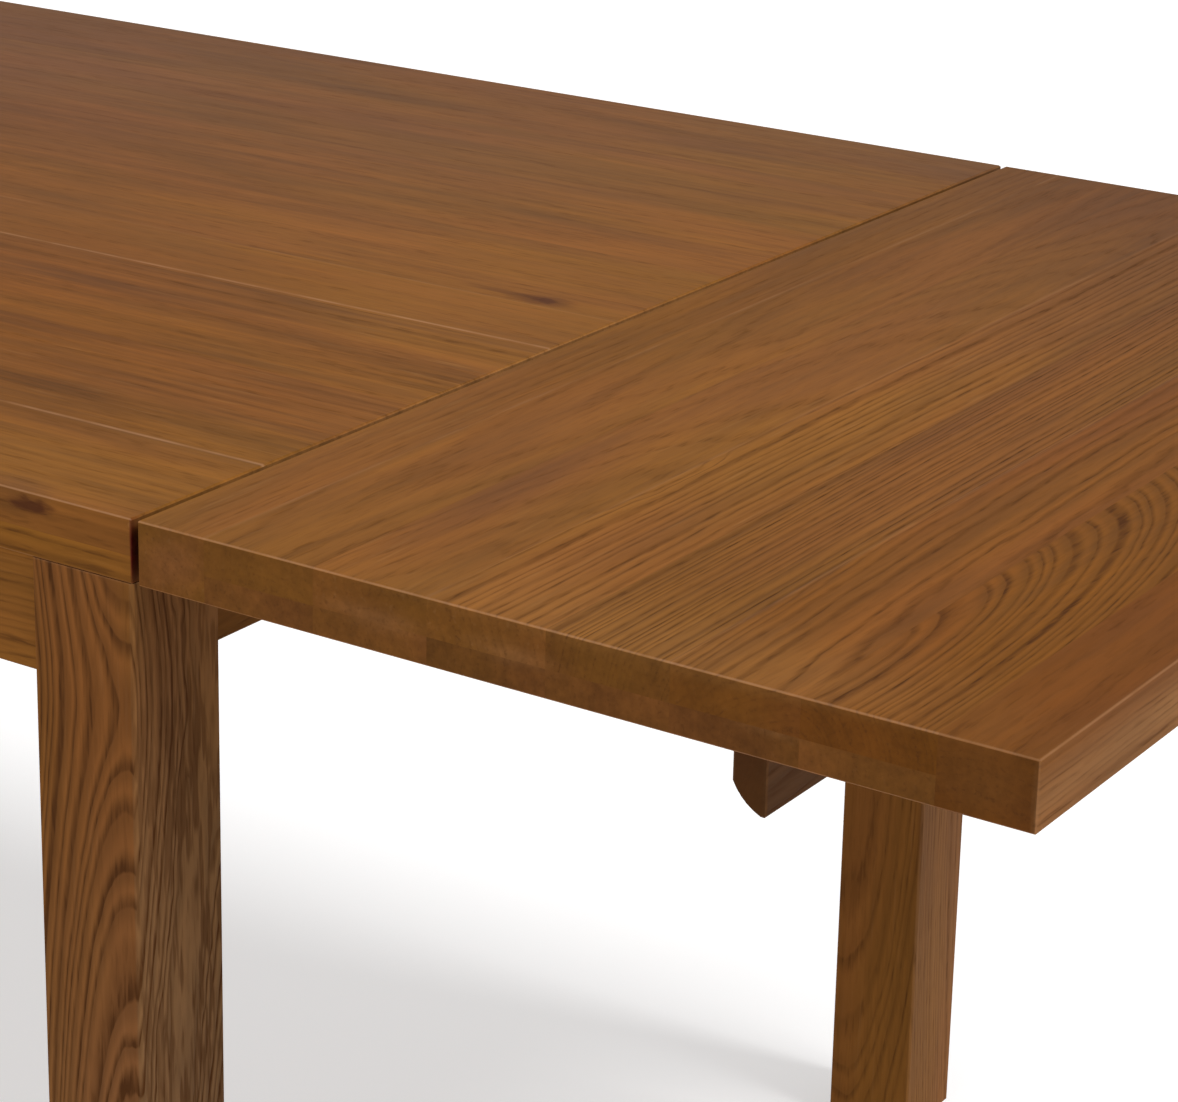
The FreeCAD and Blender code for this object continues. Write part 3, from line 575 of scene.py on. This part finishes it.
def leaf_cuts(side):
    """The pieces of one leaf, from the top's end outwards."""
    sign = 1 if side == "right" else -1
    name = "leaf_%s_" % side
    low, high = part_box(name + "board_1")
    width = high[0] - low[0]
    start = low[0] if sign > 0 else high[0]
    surface = high[2]

    def under(number, depth, along=0.0, aside=0.5):
        """A pith point at a depth under a board, aside of the way across it."""
        return (start + sign * width * (number - 1 + aside), along, surface - depth)

    def joint(number, strength):
        """The joint on the inner side of a board."""
        return ("X", start + sign * width * (number - 1), strength)

    brown, pale = (0.15, 0.056, 0.02), (0.41, 0.199, 0.075)
    # Painted light and shade laid on every piece of the leaf: darker towards the back, where the lamp reaches less, a
    # darker band along its inner end and a lighter patch at the front of its outer end.
    painted_shading = (((sign * 1.15, 0.55, 0.76), (0.7, 0.74, 0.3), 0.9, (0.145, 0.056, 0.018)),
           ((sign * 0.93, 0.04, 0.76), (0.08, 0.42, 0.1), 0.4, (0.16, 0.054, 0.004)),
           ((sign * 1.21, -0.46, 0.76), (0.2, 0.11, 0.01), 0.5, (0.34, 0.145, 0.036)))
    strips = tuple(((sign * x, -0.475, 0.7425), (reach, 0.004, 0.009), 0.45, (0.41, 0.178, 0.06))
                   for x, reach in ((1.052, 0.045), (1.131, 0.04), (1.271, 0.03)))
    cuts = {
        "inner_rail": dict(
            pith=under(0, 0.06, 0.1, 0.2), ring=0.0042, lines=0.2, tone=1.02, seed=1.9, glints=0.25,
            joints=[joint(1, 0.12)],
            patches=(((sign * 0.926, -0.475, 0.742), (0.028, 0.004, 0.024), 0.5, (0.4, 0.15, 0.047)),)),
        "board_1": dict(
            pith=under(1, 0.12, 0.2), ring=0.0052, lines=0.24, seed=2.2, bow=0.03, reach=0.3,
            joints=[joint(1, 0.12), joint(2, -0.2)]),
        "board_2": dict(
            pith=under(2, 0.1, -0.7, 0.9), ring=0.005, lines=0.2, tone=1.03, seed=3.5, bow=0.06, reach=0.2,
            glints=0.25, joints=[joint(2, -0.2), joint(3, 0.11)],
            patches=((under(2, 0.0, -0.3, 0.2), (0.024, 0.16, 0.01), 0.5, brown),)),
        "board_3": dict(
            pith=under(3, 0.06, -0.27, -1.3), ring=0.0058, lines=0.52, tone=1.06, seed=4.4, glints=0.3,
            joints=[joint(3, 0.11), joint(4, -0.2)],
            knots=((under(3, 0.0, -0.268, -0.05), (0.016, 0.075, 0.02), 0.0, -0.011),)),
        "board_4": dict(
            pith=under(4, 0.05, 0.3, 2.2), tilt=0.8, ring=0.0036, lines=0.66, width=0.55, tone=0.96, seed=5.8,
            wander=0.002, pores=0.4, joints=[joint(4, -0.15), joint(5, 0.1)],
            patches=((under(4, 0.0, -0.1, 0.12), (0.014, 0.3, 0.01), 0.5, brown),)),
        "board_5": dict(
            pith=under(5, 0.09, 0.1, 1.2), ring=0.0046, lines=0.54, tone=0.94, seed=6.9, bow=0.02, reach=0.3,
            tint=(0.98, 0.9, 0.85), joints=[joint(5, 0.1), joint(6, -0.1)]),
        "board_6": dict(
            pith=under(6, 0.025, -0.43, -0.06), ring=0.0038, lines=0.66, tone=0.9, seed=7.6, bow=0.22, reach=0.12,
            wander=0.0022, pores=0.4, tint=(0.97, 0.88, 0.62), joints=[joint(6, -0.1), joint(7, -0.1)]),
        "outer_rail": dict(
            pith=under(7, 0.09, 0.2, 0.3), ring=0.0042, lines=0.25, tone=0.81, seed=8.5, tint=(0.95, 0.81, 0.68),
            joints=[joint(7, -0.1)],
            # the lighter outer end is partly paler wood and partly a painted highlight from the lamps at the right
            patches=(((sign * 1.404, 0.0, 0.738), (0.004, 1.6, 0.04), 0.8, pale),
                     ((sign * 1.38, -0.475, 0.742), (0.05, 0.004, 0.03), 0.12, (0.38, 0.186, 0.071)))),
        "edge_blocks": dict(
            pith=(start, 0.0, 0.7), lines=0.15, streaks=0.3, tone=0.93, seed=9.7, tint=(1.0, 0.98, 1.15),
            cells=((start, -1.0, 0.0), (width, 1.0, 2.0))),
    }
    for piece, cut in cuts.items():
        patches = cut.get("patches", ()) + painted_shading + (strips if piece in STRIPPED else ())
        cut.update(grain="Y", edges_of=TOP_EDGE, wear=0.7 if piece == "outer_rail" else 1.0, patches=patches)
        cut.setdefault("streaks", 0.22)
    cuts["battens"] = dict(
        pith=(sign * 1.1, 0.1, 0.68), ring=0.0044, lines=0.35, tone=0.88, seed=1.4, wear=0.0,
        cells=((-2.0, -1.0, 0.0), (4.0, 1.0, 2.0)))
    for cut in cuts.values():
        cut["seed"] += sign
    return {name + piece: cut for piece, cut in cuts.items()}


# ---- pieces
def dress_in_oak(cuts):
    for node, cut in cuts.items():
        dress(node, oak(node, **cut))
    return {"FINISHED"}


class TABLE_OT_top(bpy.types.Operator):
    """Give the fixed top's boards, strips and battens their oak"""
    bl_idname = "table.top"
    bl_label = "Top"

    def execute(self, context):
        return dress_in_oak(top_cuts())


class TABLE_OT_frame(bpy.types.Operator):
    """Give the legs, aprons and rails their oak"""
    bl_idname = "table.frame"
    bl_label = "Legs and rails"

    def execute(self, context):
        return dress_in_oak(FRAME_CUTS)


class TABLE_OT_runner_frames(bpy.types.Operator):
    """Give both pull-out runner frames their oak"""
    bl_idname = "table.runner_frames"
    bl_label = "Runner frames"

    def execute(self, context):
        return dress_in_oak({**runner_frame_cuts("right"), **runner_frame_cuts("left")})


class TABLE_OT_leaves(bpy.types.Operator):
    """Give both leaves their oak"""
    bl_idname = "table.leaves"
    bl_label = "Leaves"

    def execute(self, context):
        return dress_in_oak({**leaf_cuts("right"), **leaf_cuts("left")})


def plain_material(name, color, metallic, roughness, grain_scale):
    """A manufactured surface with a faint grain of its own."""
    material = bpy.data.materials.new(name)
    wire = cleared(material)
    grain = wire.noise(wire.add("ShaderNodeTexCoord", out="Object"), grain_scale, 3.0)
    bump = wire.add("ShaderNodeBump", {"Strength": 0.3, "Distance": 0.0002, "Height": grain})
    wire.finish("ShaderNodeBsdfPrincipled", {
        "Base Color": wire.mix(wire.step(grain, 0.35, 0.7), rgba(color), rgba(color, (0.7, 0.7, 0.7))),
        "Roughness": wire.step(grain, 0.2, 0.8, roughness - 0.08, roughness + 0.08),
        "Metallic": metallic, "Normal": bump})
    return material


# ---- fasteners
HEAD_TO_SHANK = 2.1     # a screw's head is this much wider than its thread
HEAD_HEIGHT = 0.57      # and this high, against its own radius
WOOD_PART = 0.045       # how much of a hanger bolt is in the leg
WOOD_PITCH = 1.5        # the pitch of its thread there, against a wood screw's
BORE_TO_BOLT = 1.04
WASHER, NUT = (40, 1.001), (6, 1.02)    # the sides, and the ball that turns off the corners, against the radius
SAME_LEVEL = 1e-4       # corners nearer than this along an axis count as level


class Solid:
    """One screw, bolt, nut or washer of the frame: its end on its own axis, its length and how wide it is."""

    def __init__(self, points):
        self.middle = points.mean(axis=0)
        offsets = points - self.middle
        axes = np.linalg.svd(offsets, full_matrices=False)[2]
        spans = [np.ptp(offsets @ axis) for axis in axes]
        # A rod's own axis is its longest. That of a nut or washer, as wide one way as the other, is its shortest.
        self.axis = axes[2] if abs(spans[0] - spans[1]) < 0.2 * spans[0] else axes[0]
        self.along = offsets @ self.axis
        self.aside = np.linalg.norm(offsets - np.outer(self.along, self.axis), axis=1)
        self.length = float(np.ptp(self.along))
        if self.wide_at(self.along.max()) > self.wide_at(self.along.min()) + SAME_LEVEL:
            self.turn()

    def turn(self):
        """Takes the solid from its other end."""
        self.axis, self.along = -self.axis, -self.along

    def wide_at(self, level):
        return float(self.aside[np.abs(self.along - level) < SAME_LEVEL].max())

    def end(self, level=None):
        return self.middle + self.axis * (self.along.min() if level is None else level)

    @property
    def wide(self):
        return self.wide_at(self.along.min())


def solids_of(node):
    """The separate solids of one node. Two that touch, such as a nut on its washer, come as one."""
    bm = bmesh.new()
    bm.from_mesh(NODES[node].data)
    bmesh.ops.remove_doubles(bm, verts=bm.verts, dist=1e-6)
    left, found = dict.fromkeys(bm.verts), []       # a dict keeps their order, so each run gives the same
    while left:
        edge, island = [left.popitem()[0]], []
        while edge:
            vert = edge.pop()
            island.append(vert.co[:])
            for link in vert.link_edges:
                other = link.other_vert(vert)
                if other in left:
                    del left[other]
                    edge.append(other)
        found.append(Solid(np.array(island)))
    bm.free()
    return found


def fastener_tree(name, sizes, **others):
    """A geometry tree with named sizes, whose points carry the axes of the fasteners."""
    inputs = {"Geometry": "Geometry", "Float": sizes, "Material": "Material", **others}
    return new_tree(name, "GeometryNodeTree", inputs, {"Geometry": "Geometry"})


def on_points(wire, given, parts):
    """Puts the joined parts on every point and gives them their material."""
    axis = wire.add("GeometryNodeInputNamedAttribute", {"Name": "axis"}, "Attribute", data_type="FLOAT_VECTOR")
    placed = wire.add("GeometryNodeInstanceOnPoints", {
        "Points": given["Geometry"], "Instance": wire.gather("GeometryNodeJoinGeometry", "Geometry", parts),
        "Rotation": wire.add("FunctionNodeAlignRotationToVector", {"Vector": axis}, axis="Z")})
    real = wire.add("GeometryNodeRealizeInstances", {"Geometry": placed})
    return wire.give(Geometry=wire.add("GeometryNodeSetMaterial", {"Geometry": real, "Material": given["Material"]}))


def boolean(wire, operation, parts, whole=None):
    """The parts joined or crossed, or taken away from a whole."""
    values = {"Mesh 1": whole} if whole else None
    return wire.gather("GeometryNodeMeshBoolean", "Mesh 2", parts, values, operation=operation, solver="EXACT")


def raised(wire, geometry, level):
    return wire.add("GeometryNodeTransform", {"Geometry": geometry, "Translation": wire.combine(0.0, 0.0, level)})


def cone(wire, sides, low_radius, high_radius, height, level):
    """A cone or rod that stands on a level of Z."""
    return raised(wire, wire.add("GeometryNodeMeshCone", {
        "Vertices": sides, "Radius Bottom": low_radius, "Radius Top": high_radius, "Depth": height}), level)


def thread(wire, radius, height, pitch, level):
    """A ridge that winds round a rod."""
    line = wire.add("GeometryNodeCurveSpiral", {
        "Resolution": 14, "Rotations": height / pitch, "Start Radius": radius, "End Radius": radius, "Height": height})
    ridge = wire.add("GeometryNodeCurvePrimitiveCircle", {"Resolution": 3, "Radius": pitch * 0.3})
    wound = wire.add("GeometryNodeCurveToMesh", {"Curve": line, "Profile Curve": ridge, "Fill Caps": True})
    return raised(wire, wound, level)


def screw_tree():
    """Countersunk wood screw: a head with a cross recess, a plain neck, a threaded shank and a point."""
    wire, given = fastener_tree("Wood screw", "Length, Radius, Head Radius, Head Height, Recess, Pitch")
    length, radius, head, height = (given[name] for name in ("Length", "Radius", "Head Radius", "Head Height"))
    core, tip, rim, neck = radius * 0.72, radius * 2.4, height * 0.12, height * 0.9
    whole = boolean(wire, "UNION", (
        cone(wire, 32, head, core, height - rim, rim), cone(wire, 32, head * 0.97, head, rim, 0.0)))
    long_side, thin_side, deep = head * 2.0 * given["Recess"], head * 0.26, height * 1.2
    cut = boolean(wire, "DIFFERENCE", [
        wire.add("GeometryNodeMeshCube", {"Size": wire.combine(*sides)})
        for sides in ((thin_side, long_side, deep), (long_side, thin_side, deep))], whole)
    shank_end, thread_start = length - tip, length * 0.36
    shank = cone(wire, 16, core, core, shank_end - neck, neck)
    point = cone(wire, 16, core, core * 0.08, tip, shank_end)
    ridge = thread(wire, radius * 0.82, shank_end - thread_start, given["Pitch"], thread_start)
    return on_points(wire, given, (cut, shank, point, ridge))


def hanger_bolt_tree():
    """Headless bolt: wood thread with a point at its far end, machine thread at its near end."""
    wire, given = fastener_tree("Hanger bolt", "Length, Radius, Wood Part, Wood Pitch, Pitch")
    length, radius = given["Length"], given["Radius"]
    core, tip, bevel = radius * 0.84, radius * 1.6, radius * 0.25
    rod_end, wood_start = length - tip, length - given["Wood Part"]
    start = cone(wire, 20, core - bevel, core, bevel, 0.0)
    rod = cone(wire, 20, core, core, rod_end - bevel, bevel)
    point = cone(wire, 20, core, core * 0.1, tip, rod_end)
    fine = thread(wire, radius * 0.9, wood_start * 0.8, given["Pitch"], bevel)
    coarse = thread(wire, core, rod_end - wood_start, given["Wood Pitch"], wood_start)
    return on_points(wire, given, (start, rod, point, fine, coarse))


def ring_tree():
    """A nut or washer: a prism with a round bore, its corners turned off by a ball."""
    wire, given = fastener_tree("Nut or washer", "Radius, Bore, Thickness, Ball", Int="Sides")
    radius, bore, thick = given["Radius"], given["Bore"], given["Thickness"]
    ball = wire.add("GeometryNodeMeshUVSphere", {"Segments": 48, "Rings": 32, "Radius": given["Ball"]})
    turned = boolean(wire, "INTERSECT", (
        cone(wire, given["Sides"], radius, radius, thick, 0.0), raised(wire, ball, thick * 0.5)))
    bored = boolean(wire, "DIFFERENCE", [cone(wire, 24, bore, bore, thick * 3.0, thick * -1.0)], turned)
    return on_points(wire, given, [bored])


def grow(tree, solids, sizes, level=None):
    """The tree's fasteners in the places of the solids, from their ends or from a level on, as a plain mesh."""
    mesh = bpy.data.meshes.new(tree.name + "_places")
    mesh.from_pydata([solid.end(level).tolist() for solid in solids], [], [])
    axes = mesh.attributes.new("axis", "FLOAT_VECTOR", "POINT")
    axes.data.foreach_set("vector", [value for solid in solids for value in solid.axis])
    holder = bpy.data.objects.new(tree.name + "_places", mesh)
    bpy.context.scene.collection.objects.link(holder)
    modifier = holder.modifiers.new("fasteners", "NODES")
    modifier.node_group = tree
    for item in tree.interface.items_tree:
        if item.in_out == "INPUT" and item.name in sizes:
            modifier[item.identifier] = sizes[item.name]
    grown = bpy.data.meshes.new_from_object(holder.evaluated_get(bpy.context.evaluated_depsgraph_get()))
    bpy.data.objects.remove(holder)
    bpy.data.meshes.remove(mesh)
    return grown


def replace_fasteners(node, name, meshes, material):
    """One mesh out of all the fasteners of a node, in that node's place."""
    bm = bmesh.new()
    for mesh in meshes:
        bm.from_mesh(mesh)
        bpy.data.meshes.remove(mesh)
    bmesh.ops.remove_doubles(bm, verts=bm.verts, dist=1e-7)
    bmesh.ops.recalc_face_normals(bm, faces=bm.faces)
    mesh = bpy.data.meshes.new(name)
    bm.to_mesh(mesh)
    bm.free()
    mesh.materials.append(material)
    piece = bpy.data.objects.new(name, mesh)
    bpy.context.scene.collection.objects.link(piece)
    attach(piece, BODY_OF[node])
    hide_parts(node)


class TABLE_OT_fittings(bpy.types.Operator):
    """Make the screws, hanger bolts, nuts and washers, and finish the pins and glides"""
    bl_idname = "table.fittings"
    bl_label = "Screws, bolts and glides"

    def execute(self, context):
        settings = context.scene.table_fasteners
        steel = plain_material("zinc_steel", settings.steel, metallic=1.0, roughness=0.38, grain_scale=300.0)
        plastic = plain_material("black_plastic", settings.plastic, metallic=0.0, roughness=0.55, grain_scale=900.0)
        for node in ("leaf_right_pins", "leaf_left_pins"):
            dress(node, steel)
        dress("floor_glides", plastic)

        screws = screw_tree()
        for node in ("wood_screws", "leaf_right_batten_screws", "leaf_left_batten_screws"):
            by_length = {}
            for solid in solids_of(node):
                by_length.setdefault(round(solid.length, 4), []).append(solid)
            meshes = [grow(screws, group, {
                "Length": group[0].length, "Radius": group[0].wide / HEAD_TO_SHANK, "Head Radius": group[0].wide,
                "Head Height": group[0].wide * HEAD_HEIGHT, "Recess": settings.recess,
                "Pitch": settings.screw_pitch, "Material": steel}) for group in by_length.values()]
            replace_fasteners(node, BODY_OF[node] + "_screws", meshes, steel)

        bolts = solids_of("hanger_bolts")
        for bolt in bolts:
            if np.linalg.norm(bolt.end()[:2]) > np.linalg.norm(bolt.end(bolt.along.max())[:2]):
                bolt.turn()
        radius = bolts[0].aside.max()
        mesh = grow(hanger_bolt_tree(), bolts, {
            "Length": bolts[0].length, "Radius": radius, "Wood Part": WOOD_PART,
            "Wood Pitch": settings.screw_pitch * WOOD_PITCH, "Pitch": settings.bolt_pitch, "Material": steel})
        replace_fasteners("hanger_bolts", "leg_bolts", [mesh], steel)

        stacks = solids_of("hanger_nuts")       # the washer is the wider end, and so it comes first
        base, seat, *_, top = sorted(set(stacks[0].along.round(5)))
        rings, meshes = ring_tree(), []
        for low, high, seen, (sides, ball) in ((base, seat, base, WASHER), (seat, top, top, NUT)):
            outer = stacks[0].wide_at(seen)
            meshes.append(grow(rings, stacks, {
                "Sides": sides, "Radius": outer, "Bore": radius * BORE_TO_BOLT, "Thickness": float(high - low),
                "Ball": outer * ball, "Material": steel}, low))
        replace_fasteners("hanger_nuts", "leg_nuts", meshes, steel)
        return {"FINISHED"}


# ---- stage
WHITE = (1.0, 1.0, 1.0, 1.0)
FLOOR_REACH = 30.0
KEY_FROM = (3.32, -0.12, 4.0)
SOFT_LAMPS = {"front_lamp": (0.4, -4.5, 2.2), "side_lamp": (5.0, -0.6, 1.1)}
SOFT_LAMP_SIZE = (3.0, 2.0)
SOFT_LAMP_TARGET = (0.6, 0.0, 0.5)
CAMERA_PLACE = (1.9699, -1.6908, 1.3357)
CAMERA_TURN = (72.839, -1.1623, 33.641)      # in degrees


class TABLE_OT_stage(bpy.types.Operator):
    """Lay the white floor and set the lamps and the camera"""
    bl_idname = "table.stage"
    bl_label = "Floor, lamps and camera"

    def execute(self, context):
        settings = context.scene.table_stage
        scene = context.scene
        scene.view_settings.view_transform = "Standard"

        mesh = bpy.data.meshes.new("floor")
        bm = bmesh.new()
        bmesh.ops.create_grid(bm, x_segments=2, y_segments=2, size=FLOOR_REACH)
        bm.to_mesh(mesh)
        bm.free()
        floor = self.placed(scene, "floor", mesh)
        material = bpy.data.materials.new("paper_floor")
        wire = cleared(material)
        wire.finish("ShaderNodeBsdfPrincipled", {
            "Base Color": rgba(settings.floor), "Roughness": 0.9, "Specular IOR Level": 0.0,
            "Emission Color": WHITE, "Emission Strength": self.seen(wire) * settings.floor_glow})
        mesh.materials.append(material)

        scene.world = bpy.data.worlds.new("room")
        wire = cleared(scene.world)
        air = wire.add("ShaderNodeMapRange", {"Value": self.seen(wire), "To Min": settings.air, "To Max": 1.0})
        wire.finish("ShaderNodeBackground", {"Color": WHITE, "Strength": air}, "ShaderNodeOutputWorld")

        key = bpy.data.lights.new("key_lamp", "SUN")
        key.energy, key.angle = settings.key, settings.key_angle
        self.hang(scene, key, Vector(KEY_FROM), Vector((0, 0, 0)))
        for (name, place), power in zip(SOFT_LAMPS.items(), (settings.front, settings.side)):
            soft = bpy.data.lights.new(name, "AREA")
            soft.shape, soft.energy = "RECTANGLE", power
            soft.size, soft.size_y = SOFT_LAMP_SIZE
            self.hang(scene, soft, Vector(place), Vector(SOFT_LAMP_TARGET))

        camera = bpy.data.cameras.new("camera")
        camera.sensor_width, camera.lens, camera.shift_y = 36.0, settings.lens, settings.drop
        scene.camera = self.placed(scene, "camera", camera, CAMERA_PLACE, map(math.radians, CAMERA_TURN))
        return {"FINISHED"}

    def seen(self, wire):
        """One for rays that show the surface itself, and zero for those that only light other things."""
        path = wire.outputs(wire.node("ShaderNodeLightPath"))
        return wire.math("ADD", path["Is Camera Ray"] + path["Is Glossy Ray"], path["Is Transmission Ray"], clamp=True)

    def hang(self, scene, light, place, target):
        self.placed(scene, light.name, light, place, (place - target).to_track_quat("Z", "Y").to_euler())

    def placed(self, scene, name, data, place=(0.0, 0.0, 0.0), turn=(0.0, 0.0, 0.0)):
        thing = bpy.data.objects.new(name, data)
        thing.location, thing.rotation_euler = place, tuple(turn)
        scene.collection.objects.link(thing)
        return thing


# ---- sidebar and registration
OPERATORS = (TABLE_OT_stage, TABLE_OT_top, TABLE_OT_frame, TABLE_OT_runner_frames, TABLE_OT_leaves, TABLE_OT_fittings)
SETTINGS = {"table_oak": OakSettings, "table_fasteners": FastenerSettings, "table_stage": StageSettings}


class TABLE_PT_sidebar(bpy.types.Panel):
    """Lists the table's pieces and settings"""
    bl_label = "Extending table"
    bl_idname = "TABLE_PT_sidebar"
    bl_space_type = "VIEW_3D"
    bl_region_type = "UI"
    bl_category = "Table"

    def draw(self, context):
        for operator in OPERATORS:
            self.layout.operator(operator.bl_idname)
        for name, settings in SETTINGS.items():
            box = self.layout.box()
            for key in settings.__annotations__:
                box.prop(getattr(context.scene, name), key)


def register():
    for name, settings in SETTINGS.items():
        bpy.utils.register_class(settings)
        setattr(bpy.types.Scene, name, bpy.props.PointerProperty(type=settings))
    for item in OPERATORS + (TABLE_PT_sidebar,):
        bpy.utils.register_class(item)


def unregister():
    for item in reversed(OPERATORS + (TABLE_PT_sidebar,)):
        bpy.utils.unregister_class(item)
    for name, settings in SETTINGS.items():
        delattr(bpy.types.Scene, name)
        bpy.utils.unregister_class(settings)


def main():
    register()
    for operator in OPERATORS:
        group, _, name = operator.bl_idname.partition(".")
        getattr(getattr(bpy.ops, group), name)()
    bpy.context.view_layer.update()


if __name__ == "__main__":
    main()
